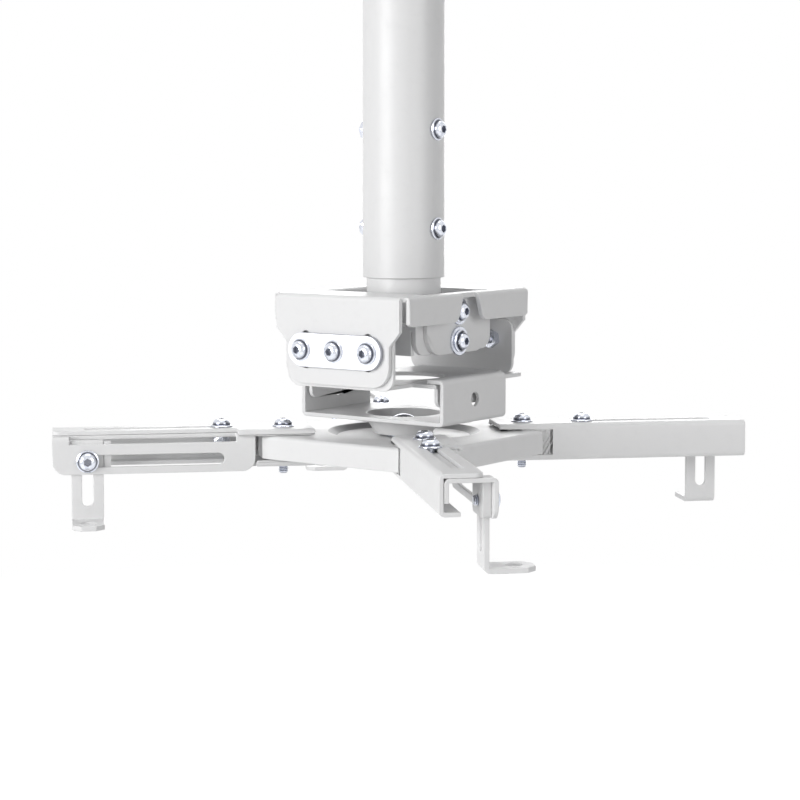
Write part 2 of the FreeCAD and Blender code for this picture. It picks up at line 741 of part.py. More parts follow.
slab(washer, "XY", deep - size("swivel_washer_thick"), size("swivel_washer_thick"), [
    (draw_circle, 0, 0, size("swivel_washer")),
    (draw_circle, 0, 0, 2 * bore),
])
hub_top = deep - size("swivel_washer_thick") - gap
hub_low = hub_top - size("spider_sheet")
bolt = new_body("swivel_bolt")
seat = deep + thick
slab(bolt, "XY", seat, size("swivel_head_high"), [(draw_hexagon, size("swivel_head"))])
end = hub_low - gap - size("swivel_nut_high") - size("swivel_stub")
slab(bolt, "XY", end, seat - end, [(draw_circle, 0, 0, size("swivel_thread"))])
slab(bolt, "XY", hub_low - gap - size("swivel_nut_high"), size("swivel_nut_high"), [
    (draw_hexagon, size("swivel_head")),
])

# Spider: square pressed pan with cut corners, sides turned down all round and a dished hub
body = new_body("spider")
half = size("spider_half")
tip = size("arm_pivot_radius") + size("spider_tip_margin")
top = head_top - size("spider_top")
thick = size("spider_sheet")
skirt_low = head_top - size("spider_low")


def cut_square(half, tip):
    """Corners of a square of half side half, its corners cut off square to the diagonal at distance tip."""
    cut = tip * math.sqrt(2) - half
    return [(half, -cut), (half, cut), (cut, half), (-cut, half), (-half, cut), (-half, -cut), (-cut, -half),
            (cut, -half)]


outline = cut_square(half, tip)
slab(body, "XY", skirt_low, top - skirt_low, [(draw_polygon, outline)])
round_edges(body, "z", outline, size("spider_tip_corner"))
round_rim(body, top, size("spider_fold"))
inside = cut_square(half - thick, tip - thick)
slab(body, "XY", skirt_low - 1, top - thick - skirt_low + 1, [(draw_polygon, inside)], cut=True)
recess = size("recess_outer") / 2
floor = size("recess_inner") / 2
slab(body, "XY", top - thick - 1, thick + 2, [(draw_circle, 0, 0, 2 * recess)], cut=True)
turned(body, [
    (bore, hub_low), (floor + 0.5, hub_low), (recess + 0.5, top - thick), (recess + 1.5, top - thick),
    (recess + 1.5, top), (recess, top), (floor, hub_top), (bore, hub_top),
])
pivot = size("arm_pivot_radius") / math.sqrt(2)
neck_hole = size("bush_neck") + size("hole_play")
slab(body, "XY", top - thick - 1, thick + 2, [
    (draw_circle, u * pivot, v * pivot, neck_hole) for u in (-1, 1) for v in (-1, 1)
], cut=True)

# Arms: each body is drawn with the hub axis at its origin and the arm along +X, then turned into place
thick = size("arm_sheet")
back = -size("arm_back")
slot_y = -size("arm_slot_side")
arm_low = -size("arm_high")
ext_top = -thick - gap
ext_back = back + thick + size("nest_gap")
hook_z = -size("side_slot_depth")
collar = size("bush_collar_thick")
wide = size("extension_wide") + size("nest_gap") + thick
clip_half = size("clip_wide") / 2
pivot_r = size("arm_pivot_radius")
start = pivot_r - size("arm_start_inward")
web_start = pivot_r + size("arm_web_start")
wide_end = pivot_r + size("arm_wide_end")
ext_start = pivot_r + size("extension_start")
bolt_r = pivot_r + size("arm_slot_start")
hook_near = ext_start + size("side_slot_start")
low_end = hook_near - clip_half - size("window_play")
window_start = hook_near - size("hook_wide") / 2 - size("window_play")
window_end = size("hook_radius") + size("hook_wide") / 2 + size("window_play")
end = window_end + size("arm_end_margin")
for number, name in enumerate(ARM_NAMES):
    angle = FIRST_ARM_ANGLE + number * 360.0 / ARM_COUNT

    def set_arm(obj, x=0, y=0, z=0):
        turn = math.radians(angle)
        x, y = Size.of(x), Size.of(y)
        along = x * math.cos(turn) - y * math.sin(turn)
        across = x * math.sin(turn) + y * math.cos(turn)
        return place(obj, along, across, arm_top + z, (0, 0, 1), angle)

    body = new_body(f"arm_{name}")
    slab(body, "XY", -thick, thick, [(draw_polygon, [
        (start, back), (end, back), (end, size("arm_narrow")), (wide_end, size("arm_narrow")), (wide_end, wide),
        (start, wide),
    ])])
    fork_end = ext_start - 0.5
    slab(body, "XY", arm_low, thick, [(draw_polygon, [
        (start, back), (end, back), (end, -size("arm_low_narrow")), (low_end, -size("arm_low_narrow")),
        (low_end, size("arm_low_wide")), (fork_end, size("arm_low_wide")), (fork_end, wide), (start, wide),
    ])])
    top_strip = -size("arm_top_strip")
    low_strip = arm_low + size("arm_low_strip")
    slab(body, "XZ", back, thick, [(draw_polygon, [
        (start, arm_low), (end, arm_low), (end, 0), (start, 0), (start, top_strip), (web_start, top_strip),
        (web_start, low_strip), (start, low_strip),
    ])])
    slab(body, "XZ", wide - thick, thick, [(draw_rectangle, start, top_strip, wide_end, 0)])
    slab(body, "XZ", wide - thick, thick, [(draw_rectangle, start, arm_low, fork_end, low_strip)])
    round_edges(body, "z", [(end, size("arm_narrow"))], size("arm_corner"))
    strip_ends = [(start, top_strip), (start, low_strip), (wide_end, top_strip), (fork_end, low_strip)]
    round_edges(body, "y", strip_ends, size("arm_strip_corner"))
    round_edges(body, "x", [(y, z) for y in (back, wide) for z in (0, arm_low)], size("arm_fold"))
    slab(body, "XY", arm_low - 1, size("arm_high") + 2, [
        (draw_circle, pivot_r, 0, hole),
    ], cut=True)
    slab(body, "XY", -thick - 1, thick + 2, [
        (draw_slot, bolt_r, slot_y, end - size("arm_slot_margin"), slot_y, size("slot_wide")),
    ], cut=True)
    set_arm(body)
    bush = new_body(f"arm_bush_{name}")
    neck = size("bush_neck") / 2
    turned(bush, [
        (hole / 2, arm_low + thick), (neck, arm_low + thick), (neck, -thick - collar),
        (size("bush_collar") / 2, -thick - collar), (size("bush_collar") / 2, -thick), (hole / 2, -thick),
    ])
    set_arm(bush, pivot_r)
    bolt = make_bolt(f"arm_pivot_bolt_{name}", size("arm_high"), size("pivot_stub"))
    set_arm(bolt, pivot_r)

    body = new_body(f"extension_{name}")
    ext_wide = size("extension_wide")
    hook_r = size("hook_radius")
    wall_low = -size("extension_wall_low")
    top_start = ext_start + size("extension_top_back")
    slab(body, "XY", ext_top - thick, thick, [(draw_rectangle, top_start, ext_back, end, ext_wide)])
    slab(body, "XZ", ext_back, thick, [(draw_rectangle, ext_start, -size("extension_leg_low"), end, ext_top)])
    slab(body, "XZ", ext_wide - thick, thick, [(draw_rectangle, ext_start, wall_low, end, ext_top)])
    round_edges(body, "y", [(x, wall_low) for x in (ext_start, end)], size("extension_corner"))
    round_edges(body, "x", [(ext_back, ext_top), (ext_wide, ext_top)], size("arm_fold"))
    slab(body, "XY", -size("window_low"), size("window_low") + 1, [
        (draw_rectangle, window_start, size("window_side"), window_end, ext_wide + 1),
    ], cut=True)
    slab(body, "XZ", ext_wide - thick - 1, thick + 2, [
        (draw_slot, hook_near, hook_z, hook_r, hook_z, size("side_slot_wide")),
    ], cut=True)
    slab(body, "XY", ext_top - thick - 1, thick + 2, [(draw_circle, bolt_r, slot_y, hole)], cut=True)
    set_arm(body)
    bolt = make_bolt(f"extension_bolt_{name}", 2 * thick + 2 * gap)
    set_arm(bolt, bolt_r, slot_y, gap)

    hook_out = ext_wide - thick - gap
    hook_in = hook_out - size("hook_sheet")
    hook_half = size("hook_wide") / 2
    hook_low = -size("hook_top") - size("hook_long")
    body = new_body(f"hook_{name}")
    slab(body, "XZ", hook_in, size("hook_sheet"), [
        (draw_rectangle, hook_r - hook_half, hook_low, hook_r + hook_half, -size("hook_top")),
    ])
    foot = size("hook_foot_end")
    chamfer = size("hook_foot_chamfer")
    slab(body, "XY", hook_low, size("hook_sheet"), [(draw_polygon, [
        (hook_r - hook_half, hook_in), (hook_r + hook_half, hook_in), (hook_r + hook_half, foot - chamfer),
        (hook_r + hook_half - chamfer, foot), (hook_r - hook_half + chamfer, foot),
        (hook_r - hook_half, foot - chamfer),
    ])])
    round_edges(body, "x", [(hook_in, hook_low)], size("hook_fold"))
    slab(body, "XZ", hook_in - 1, size("hook_sheet") + 2, [
        (draw_slot, hook_r, hook_z - size("hook_lift"), hook_r, hook_z, size("slot_wide")),
    ], cut=True)
    slab(body, "XY", hook_low - 1, size("hook_sheet") + 2, [
        (draw_circle, hook_r, size("hook_foot_hole_side"), size("hook_foot_hole")),
    ], cut=True)
    set_arm(body)
    clip = new_body(f"hook_clip_{name}")
    rise = hook_z + size("clip_rise")
    drop = hook_z - size("clip_drop")
    clip_in = hook_in - gap - size("clip_sheet")
    slab(clip, "XZ", clip_in, hook_out - clip_in, [
        (draw_rectangle, hook_r - clip_half, drop, hook_r + clip_half, rise),
    ])
    guide = hook_half + size("clip_play")
    slab(clip, "XZ", hook_in - gap, size("hook_sheet") + 1, [
        (draw_rectangle, hook_r - guide, drop - 1, hook_r + guide, rise + 1),
    ], cut=True)
    round_edges(clip, "y", [(hook_r + s * clip_half, drop) for s in (-1, 1)], size("clip_sheet") * 2)
    slab(clip, "XZ", clip_in - 1, size("clip_sheet") + 2, [(draw_circle, hook_r, hook_z, hole)], cut=True)
    set_arm(clip)
    clip_grip = thick + size("hook_sheet") + size("clip_sheet") + 3 * gap
    bolt = make_bolt(f"hook_bolt_{name}", clip_grip, size("bolt_stub"))
    set_arm(bolt, hook_r, ext_wide + gap, hook_z)
    lay = FreeCAD.Rotation(FreeCAD.Vector(1, 0, 0), -90.0)
    bolt.Placement.Rotation = FreeCAD.Rotation(FreeCAD.Vector(0, 0, 1), angle) * lay

doc.recompute()

# Check every object, then write one file for each piece
for obj in doc.Objects:
    if "Invalid" in obj.State or "Error" in obj.State:
        raise RuntimeError(f"{obj.Label} is in state {obj.State}")
os.makedirs("parts", exist_ok=True)
for obj in PARTS:
    shape = obj.Shape
    if shape.isNull() or not shape.isValid():
        raise RuntimeError(f"{obj.Label} has no valid shape")
    if len(shape.Solids) != 1:
        raise RuntimeError(f"{obj.Label} has {len(shape.Solids)} solids")
    shape.exportStep(f"parts/{obj.Label}.step")
    box = shape.BoundBox
    print(f"{obj.Label:26s} volume {shape.Volume:10.1f}  z {box.ZMin:8.2f} {box.ZMax:8.2f}")
print("parts", len(PARTS))
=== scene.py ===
import math

import bmesh
import bpy
from mathutils import Matrix, Vector


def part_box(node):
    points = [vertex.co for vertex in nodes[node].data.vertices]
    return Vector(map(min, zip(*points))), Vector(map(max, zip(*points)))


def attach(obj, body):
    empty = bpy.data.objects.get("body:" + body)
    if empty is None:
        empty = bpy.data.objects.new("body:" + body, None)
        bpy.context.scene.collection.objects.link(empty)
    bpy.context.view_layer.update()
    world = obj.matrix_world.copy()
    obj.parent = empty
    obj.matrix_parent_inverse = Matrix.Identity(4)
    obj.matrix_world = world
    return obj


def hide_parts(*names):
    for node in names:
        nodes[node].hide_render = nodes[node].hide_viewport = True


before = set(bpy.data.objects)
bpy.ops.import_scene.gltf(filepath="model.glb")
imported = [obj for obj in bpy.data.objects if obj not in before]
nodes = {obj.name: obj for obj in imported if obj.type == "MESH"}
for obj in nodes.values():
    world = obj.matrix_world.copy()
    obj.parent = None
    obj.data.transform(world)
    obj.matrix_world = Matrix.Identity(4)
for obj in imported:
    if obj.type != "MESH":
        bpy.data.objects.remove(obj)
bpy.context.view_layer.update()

mm = 0.001
tiny = 0.000001  # metres: points closer than this are one
scene = bpy.context.scene


# Small helpers for node trees

def addNode(tree, kind, settings=None, **values):
    node = tree.nodes.new(kind)
    for key, value in (settings or {}).items():
        setattr(node, key, value)
    for key, value in values.items():
        node.inputs[key].default_value = value
    return node


def feed(tree, socket, value):  # an output is linked, a number or colour is set
    if isinstance(value, bpy.types.NodeSocket):
        tree.links.new(value, socket)
    else:
        socket.default_value = value


def noise(tree, coords, scale, detail=3.0, roughness=0.55):
    node = addNode(tree, "ShaderNodeTexNoise", Detail=detail, Roughness=roughness)
    feed(tree, node.inputs["Scale"], scale)
    feed(tree, node.inputs["Vector"], coords)
    return node.outputs["Fac"]


def remap(tree, value, low, high, fromLow=0.0, fromHigh=1.0):
    node = addNode(tree, "ShaderNodeMapRange", {"clamp": True})
    feed(tree, node.inputs["Value"], value)
    limits = {"From Min": fromLow, "From Max": fromHigh, "To Min": low, "To Max": high}
    for label, amount in limits.items():
        feed(tree, node.inputs[label], amount)
    return node.outputs["Result"]


def calc(tree, operation, a, b):
    node = addNode(tree, "ShaderNodeMath", {"operation": operation})
    for socket, amount in zip(node.inputs, (a, b)):
        feed(tree, socket, amount)
    return node.outputs["Value"]


def weigh(tree, a, b, shareA):
    partA = calc(tree, "MULTIPLY", a, shareA)
    return calc(tree, "ADD", partA, calc(tree, "MULTIPLY", b, 1 - shareA))


def mixColor(tree, factor, a, b):  # a and b are colours or outputs
    mix = addNode(tree, "ShaderNodeMix", {"data_type": "RGBA"})
    feed(tree, mix.inputs["Factor"], factor)
    for label, color in (("A", a), ("B", b)):
        feed(tree, mix.inputs[label], (*color, 1.0) if isinstance(color, tuple) else color)
    return mix.outputs["Result"]


def distance(tree, vector):
    node = addNode(tree, "ShaderNodeVectorMath", {"operation": "LENGTH"})
    feed(tree, node.inputs[0], vector)
    return node.outputs["Value"]


# Surface effects shared by the materials

coatPattern = {
    "peel": {"detail": 2.0, "roughness": 0.5},
    "grit": {"scale": 4200.0, "detail": 1.0, "roughness": 0.5},
    "drift": {"scale": 38.0, "detail": 4.0, "roughness": 0.6},
    "smudge": {"scale": 140.0, "detail": 5.0, "roughness": 0.65},
    "peelShare": 0.75,  # the rest of the relief is grit
    "driftShare": 0.5,  # the rest of the gloss is smudge
    "driftSpread": (0.35, 0.65),
    "smudgeSpread": (0.52, 0.8),
}
platePattern = {
    "mottle": {"detail": 4.0, "roughness": 0.6},
    "haze": {"scale": 160.0, "detail": 3.0, "roughness": 0.5},
    "pits": {"scale": 3500.0, "detail": 2.0, "roughness": 0.5},
    "pitShare": 0.6,  # the rest of the relief is mottle
    "mottleSpread": (0.3, 0.7),
    "hazeSpread": (0.35, 0.65),
}


def newGroup(name, inputs, outputs):
    group = bpy.data.node_groups.new(name, "ShaderNodeTree")
    group.interface.new_socket("Coords", in_out="INPUT", socket_type="NodeSocketVector")
    for label, value in inputs.items():
        socket = group.interface.new_socket(label, in_out="INPUT", socket_type="NodeSocketFloat")
        socket.default_value = value
    for label in outputs:
        group.interface.new_socket(label, in_out="OUTPUT", socket_type="NodeSocketFloat")
    source = group.nodes.new("NodeGroupInput").outputs
    sink = group.nodes.new("NodeGroupOutput").inputs
    return group, source, sink


def makeCoatGroup():  # orange peel, fine grit, a slow drift of gloss and blotches of grime
    inputs = {"Peel Scale": 900.0, "Peel Depth": 0.5, "Grime": 0.2}
    group, source, sink = newGroup("CoatSurface", inputs, ("Height", "Gloss Drift", "Tone"))
    coords = source["Coords"]
    peel = noise(group, coords, source["Peel Scale"], **coatPattern["peel"])
    grit = noise(group, coords, **coatPattern["grit"])
    relief = weigh(group, peel, grit, coatPattern["peelShare"])
    feed(group, sink["Height"], calc(group, "MULTIPLY", relief, source["Peel Depth"]))
    drift = noise(group, coords, **coatPattern["drift"])
    smudge = noise(group, coords, **coatPattern["smudge"])
    gloss = weigh(group, drift, smudge, coatPattern["driftShare"])
    feed(group, sink["Gloss Drift"], remap(group, gloss, 0.0, 1.0, *coatPattern["driftSpread"]))
    blotch = remap(group, smudge, 0.0, 1.0, *coatPattern["smudgeSpread"])
    dirtAndShade = calc(group, "MULTIPLY", blotch, source["Grime"])
    feed(group, sink["Tone"], calc(group, "SUBTRACT", 1.0, dirtAndShade))
    return group


def makePlateGroup():  # zinc crystals, haze and tiny pits
    inputs = {"Mottle Scale": 600.0, "Pit Depth": 0.5}
    group, source, sink = newGroup("PlateSurface", inputs, ("Height", "Mottle", "Haze"))
    coords = source["Coords"]
    mottle = noise(group, coords, source["Mottle Scale"], **platePattern["mottle"])
    feed(group, sink["Mottle"], remap(group, mottle, 0.0, 1.0, *platePattern["mottleSpread"]))
    haze = noise(group, coords, **platePattern["haze"])
    feed(group, sink["Haze"], remap(group, haze, 0.0, 1.0, *platePattern["hazeSpread"]))
    pits = noise(group, coords, **platePattern["pits"])
    relief = weigh(group, pits, mottle, platePattern["pitShare"])
    feed(group, sink["Height"], calc(group, "MULTIPLY", relief, source["Pit Depth"]))
    return group


coatGroup = makeCoatGroup()
plateGroup = makePlateGroup()


# Finishes

coatLook = {
    "light": (0.83, 0.83, 0.832),
    "dark": (0.6, 0.6, 0.6),
    "roughness": (0.34, 0.5),
    "surface": {"Peel Scale": 900.0, "Peel Depth": 0.5, "Grime": 0.12},
    "reliefDepth": 0.2,
    "reliefStrength": 0.25,
    "index": 1.5,
    "clearCoat": 0.15,
    "clearRoughness": 0.25,
}
hubLook = {
    **coatLook,
    "dark": (0.36, 0.36, 0.37),
    "surface": {"Peel Scale": 900.0, "Peel Depth": 0.5, "Grime": 0.06},
    "shadeRing": {"near": 41.2, "far": 46.4, "soft": 0.5},  # painted shade in the pressed step, as radii
}
boltLook = {
    "bright": (0.82, 0.84, 0.9),
    "dull": (0.6, 0.63, 0.71),
    "roughness": (0.1, 0.22),
    "surface": {"Mottle Scale": 620.0, "Pit Depth": 0.6},
    "reliefDepth": 0.12,
    "reliefStrength": 0.3,
    # colour of the painted shade and painted dark reflection
    "recess": (0.06, 0.065, 0.09),
}
washerLook = {
    "bright": (0.8, 0.82, 0.88),
    "dull": (0.6, 0.63, 0.71),
    "roughness": (0.2, 0.34),
    "surface": {"Mottle Scale": 620.0, "Pit Depth": 0.6},
    "reliefDepth": 0.12,
    "reliefStrength": 0.3,
}
strapLook = {
    "bright": (0.93, 0.94, 0.98),
    "dull": (0.83, 0.85, 0.91),
    "roughness": (0.3, 0.42),
    "surface": {"Mottle Scale": 900.0, "Pit Depth": 0.6},
    "reliefDepth": 0.12,
    "reliefStrength": 0.3,
    # walls painted darker: painted dark reflection and a duller cut edge
    "cutEdgeAndShade": {"color": (0.42, 0.43, 0.47), "facing": (0.15, 0.85)},
}


def newMaterial(name):
    material = bpy.data.materials.new(name)
    material.use_nodes = True
    tree = material.node_tree
    return material, tree, tree.nodes["Principled BSDF"]


def useGroup(tree, group, values):
    node = tree.nodes.new("ShaderNodeGroup")
    node.node_tree = group
    coords = addNode(tree, "ShaderNodeTexCoord")
    feed(tree, node.inputs["Coords"], coords.outputs["Object"])
    for label, value in values.items():
        node.inputs[label].default_value = value
    return node.outputs


def finishSurface(tree, shader, look, color, gloss, height):
    feed(tree, shader.inputs["Base Color"], color)
    feed(tree, shader.inputs["Roughness"], remap(tree, gloss, *look["roughness"]))
    bump = addNode(tree, "ShaderNodeBump", Strength=look["reliefStrength"],
                   Distance=look["reliefDepth"] * mm)
    feed(tree, bump.inputs["Height"], height)
    feed(tree, shader.inputs["Normal"], bump.outputs["Normal"])


def ringMask(tree, ring):  # 1 between two radii round the Z axis
    coords = addNode(tree, "ShaderNodeTexCoord")
    flat = addNode(tree, "ShaderNodeVectorMath", {"operation": "MULTIPLY"})
    feed(tree, flat.inputs[0], coords.outputs["Object"])
    flat.inputs[1].default_value = (1, 1, 0)
    away = distance(tree, flat.outputs["Vector"])
    near, far, soft = ring["near"], ring["far"], ring["soft"]
    inside = remap(tree, away, 0.0, 1.0, (near - soft) * mm, near * mm)
    outside = remap(tree, away, 1.0, 0.0, far * mm, (far + soft) * mm)
    return calc(tree, "MULTIPLY", inside, outside)


def sideMask(tree, facing):  # 1 on walls that look away from the Y axis
    coords = addNode(tree, "ShaderNodeTexCoord")
    split = addNode(tree, "ShaderNodeSeparateXYZ")
    feed(tree, split.inputs["Vector"], coords.outputs["Normal"])
    squared = calc(tree, "MULTIPLY", split.outputs["Y"], split.outputs["Y"])
    return remap(tree, squared, 1.0, 0.0, *facing)


def makeCoat(name, look):
    material, tree, shader = newMaterial(name)
    coat = useGroup(tree, coatGroup, look["surface"])
    color = mixColor(tree, coat["Tone"], look["dark"], look["light"])
    if "shadeRing" in look:  # painted shade darkens the pressed step
        color = mixColor(tree, ringMask(tree, look["shadeRing"]), color, look["dark"])
    finishSurface(tree, shader, look, color, coat["Gloss Drift"], coat["Height"])
    shader.inputs["IOR"].default_value = look["index"]
    shader.inputs["Coat Weight"].default_value = look["clearCoat"]
    shader.inputs["Coat Roughness"].default_value = look["clearRoughness"]
    return material


def makePlated(name, look):
    material, tree, shader = newMaterial(name)
    plate = useGroup(tree, plateGroup, look["surface"])
    color = mixColor(tree, plate["Mottle"], look["dull"], look["bright"])
    if "recess" in look:  # painted shade and painted dark reflection where the mesh is marked
        mark = addNode(tree, "ShaderNodeAttribute", {"attribute_name": "recess"})
        color = mixColor(tree, mark.outputs["Fac"], color, look["recess"])
    if "cutEdgeAndShade" in look:  # the sheared walls of a plate are painted darker than its faces: painted dark reflection, partly a duller cut edge
        edge = look["cutEdgeAndShade"]
        color = mixColor(tree, sideMask(tree, edge["facing"]), color, edge["color"])
    finishSurface(tree, shader, look, color, plate["Haze"], plate["Height"])
    shader.inputs["Metallic"].default_value = 1.0
    return material


whiteCoat = makeCoat("WhitePowderCoat", coatLook)
hubCoat = makeCoat("HubPowderCoat", hubLook)
boltPlate = makePlated("BoltZinc", boltLook)
zincPlate = makePlated("WasherZinc", washerLook)
strapPlate = makePlated("StrapZinc", strapLook)
print("materials done")


# Detailed fasteners in the place of the plain ones, in millimetres

boltSizes = {
    "headProfile": [  # radius and height above the seat
        (3.2, 0.0), (6.55, 0.0), (6.8, 0.25), (6.75, 0.6), (6.3, 0.85), (5.6, 1.12),
        (5.34, 1.45), (5.3, 1.9), (5.2, 2.4), (5.0, 2.95), (4.65, 3.5), (4.15, 4.0),
        (3.6, 4.38), (3.0, 4.6), (2.62, 4.68),
    ],
    "headTop": 4.7,
    "steps": 48,
    "socketFlats": 4.0,
    "socketLip": 0.1,  # the socket's mouth stands this far outside its corners
    "socketDeep": 2.2,
    "threadRadius": 3.0,
    "threadDeep": 0.55,
    "threadShape": [(1, 0.0), (0, 0.42), (0, 0.56), (1, 0.98)],  # shares of depth and pitch
    "pitch": 1.0,
    "turnSteps": 24,
    "endChamfer": 0.4,
    "endRelief": 0.3,  # the thread starts this far above the end
    "bareThread": 9.0,  # thread on a bolt without a nut
    "bareShank": 0.8,  # shank past the start of that thread
    "headOverlap": 0.1,
    "coreOverlap": 0.5,
    "stub": 2.5,  # shank below a nut
    "pivotReach": 2.8,
    "twist": 0.37,  # radians: each next bolt is turned a little further
}
nutSizes = {
    "flats": 10.0,
    "high": 5.0,
    "corner": 0.75,
    "cornerSteps": 2,
    "faceRound": 0.93,  # share of the flats that the round end faces cover
    "faceHigh": 0.105,
    "faceSteps": 36,
    "threadInside": 1.4,
    "shankInside": 0.5,
}
# painted shade in the socket, darker deeper down
socketPaintedShade = {"radius": 2.5, "above": 1.5, "rim": 0.12, "gain": 0.58, "most": 0.7}
# rings of painted shade and painted dark reflection on bolts and nuts
paintedDarkRings = [  # inner and outer radius, lowest and highest point above the seat, amount
    (-1.0, 2.7, -200.0, 0.0, 0.5),  # painted shade in the thread roots
    (5.25, 5.7, 1.0, 2.2, 0.95),  # painted dark reflection where the dome meets the flange
    (5.1, 5.28, -200.0, 2.6, 0.5),  # painted shade and dark reflection at the foot of the dome, corners of the nut
    (6.7, 7.0, -200.0, 0.4, 0.55),  # painted dark reflection on the rim of the flange
]


def spinProfile(bm, points, steps):  # radius and height pairs, turned about Z
    verts = [bm.verts.new((radius * mm, 0, height * mm)) for radius, height in points]
    edges = [bm.edges.new(pair) for pair in zip(verts, verts[1:])]
    bmesh.ops.spin(bm, geom=verts + edges, cent=(0, 0, 0), axis=(0, 0, 1), angle=2 * math.pi,
                   steps=steps, use_merge=True)


def rimEdges(bm, point, slack=0.1):  # open edges of the ring that a profile point made
    radius, height = point
    found = []
    for edge in bm.edges:
        level = all(abs(v.co.z - height * mm) < tiny for v in edge.verts)
        near = all(abs(v.co.xy.length / mm - radius) < slack for v in edge.verts)
        if edge.is_boundary and level and near:
            found.append(edge)
    return found


def edgesAmong(bm, verts):
    chosen = set(verts)
    return [edge for edge in bm.edges if chosen.issuperset(edge.verts)]


def bevelled(bm, geom, offset, segments, affect):
    bmesh.ops.bevel(bm, geom=geom, offset=offset * mm, offset_type="OFFSET", segments=segments,
                    profile=0.5, affect=affect, material=-1)


def addRod(bm, radius, low, high, steps, chamfer=0.0):
    middle = Matrix.Translation((0, 0, (low + high) / 2 * mm))
    made = bmesh.ops.create_cone(bm, cap_ends=True, segments=steps, radius1=radius * mm,
                                 radius2=radius * mm, depth=(high - low) * mm, matrix=middle)
    if chamfer:
        foot = [v for v in made["verts"] if v.co.z < (low + high) / 2 * mm]
        bevelled(bm, edgesAmong(bm, foot), chamfer, 1, "EDGES")
    return made["verts"]


def addNut(bm, low, high):
    flats, face = nutSizes["flats"], nutSizes["faceHigh"]
    corners = addRod(bm, flats / math.sqrt(3), low, high, 6)
    bevelled(bm, corners, nutSizes["corner"], nutSizes["cornerSteps"], "VERTICES")
    radius = flats / 2 * nutSizes["faceRound"]
    addRod(bm, radius, low - face, high + face, nutSizes["faceSteps"])


def addThread(bm, low, high):
    radius, deep = boltSizes["threadRadius"], boltSizes["threadDeep"]
    pitch, turnSteps = boltSizes["pitch"], boltSizes["turnSteps"]
    steps = max(4, int(((high - low) / pitch - 1) * turnSteps))
    points = [(radius - deep * inward, pitch * up) for inward, up in boltSizes["threadShape"]]
    face = bm.faces.new([bm.verts.new((r * mm, 0, (low + h) * mm)) for r, h in points])
    bmesh.ops.spin(bm, geom=[face], cent=(0, 0, 0), axis=(0, 0, 1),
                   dvec=(0, 0, pitch * mm / turnSteps), angle=2 * math.pi * steps / turnSteps,
                   steps=steps)


def addHead(bm, top):  # flanged dome with a hexagon socket, its top at height 0
    profile = [(radius, height - top) for radius, height in boltSizes["headProfile"]]
    spinProfile(bm, profile, boltSizes["steps"])
    crown = rimEdges(bm, profile[-1])
    reach = boltSizes["socketFlats"] / math.sqrt(3) + boltSizes["socketLip"]
    mouth = bmesh.ops.create_circle(bm, cap_ends=False, segments=6, radius=reach * mm)
    mouthEdges = edgesAmong(bm, mouth["verts"])
    bmesh.ops.bridge_loops(bm, edges=crown + mouthEdges)
    wall = bmesh.ops.extrude_edge_only(bm, edges=mouthEdges)
    lower = [g for g in wall["geom"] if isinstance(g, bmesh.types.BMVert)]
    bmesh.ops.translate(bm, verts=lower, vec=(0, 0, -boltSizes["socketDeep"] * mm))
    bmesh.ops.contextual_create(bm, geom=edgesAmong(bm, lower))
    bmesh.ops.contextual_create(bm, geom=rimEdges(bm, profile[0]))


def markPaintedDark(bm, top):  # painted shade in the socket, thread roots and foot of the head, painted dark reflection on the dome's flank and the flange rim
    layer = bm.verts.layers.float.new("recess")
    for vert in bm.verts:
        radius = vert.co.xy.length / mm
        height = vert.co.z / mm + top
        if radius < socketPaintedShade["radius"] and height > socketPaintedShade["above"]:
            depth = (top - height) / boltSizes["socketDeep"]
            amount = socketPaintedShade["rim"] + socketPaintedShade["gain"] * depth
            vert[layer] = min(socketPaintedShade["most"], amount)
            continue
        for inner, outer, low, high, amount in paintedDarkRings:
            if inner < radius < outer and low < height < high:
                vert[layer] = amount
                break


def finishMesh(bm, name, material, smoothAngle=32):
    bmesh.ops.remove_doubles(bm, verts=bm.verts, dist=tiny)
    bmesh.ops.recalc_face_normals(bm, faces=bm.faces)
    for face in bm.faces:
        face.smooth = True
    for edge in bm.edges:
        if len(edge.link_faces) == 2 and edge.calc_face_angle(0) > math.radians(smoothAngle):
            edge.smooth = False
    mesh = bpy.data.meshes.new(name)
    bm.to_mesh(mesh)
    bm.free()
    mesh.materials.append(material)
    obj = bpy.data.objects.new(name, mesh)
    scene.collection.objects.link(obj)
    return obj


def buildBolt(name, length, withNut):  # head top at the origin, shank down the -Z axis
    top = boltSizes["headTop"]
    bm = bmesh.new()
    addHead(bm, top)
    if withNut:
        nutTop = -(length - boltSizes["stub"] - nutSizes["high"])
        nutLow = nutTop - nutSizes["high"]
        addNut(bm, nutLow, nutTop)
        threadTop = nutLow + nutSizes["threadInside"]
        shankLow = nutTop - nutSizes["shankInside"]
    else:
        threadTop = boltSizes["bareThread"] - length
        shankLow = threadTop - boltSizes["bareShank"]
    radius, steps = boltSizes["threadRadius"], boltSizes["steps"]
    core, coreTop = radius - boltSizes["threadDeep"], shankLow + boltSizes["coreOverlap"]
    addRod(bm, radius, shankLow, -top + boltSizes["headOverlap"], steps)
    addRod(bm, core, -length, coreTop, steps, boltSizes["endChamfer"])
    addThread(bm, boltSizes["endRelief"] - length, threadTop)
    markPaintedDark(bm, top)
    return finishMesh(bm, name, boltPlate)


def boltAxis(name, direction):  # head end and length of a CAD bolt whose head points that way
    helper = Vector((0, 0, 1)) if abs(direction.z) < 0.9 else Vector((1, 0, 0))
    sideA = direction.cross(helper).normalized()
    sideB = direction.cross(sideA)
    points = [v.co for v in nodes[name].data.vertices]
    along = [p.dot(direction) for p in points]
    top = direction * max(along)
    for side in (sideA, sideB):
        across = [p.dot(side) for p in points]
        top += side * (min(across) + max(across)) / 2
    return top, (max(along) - min(along)) / mm


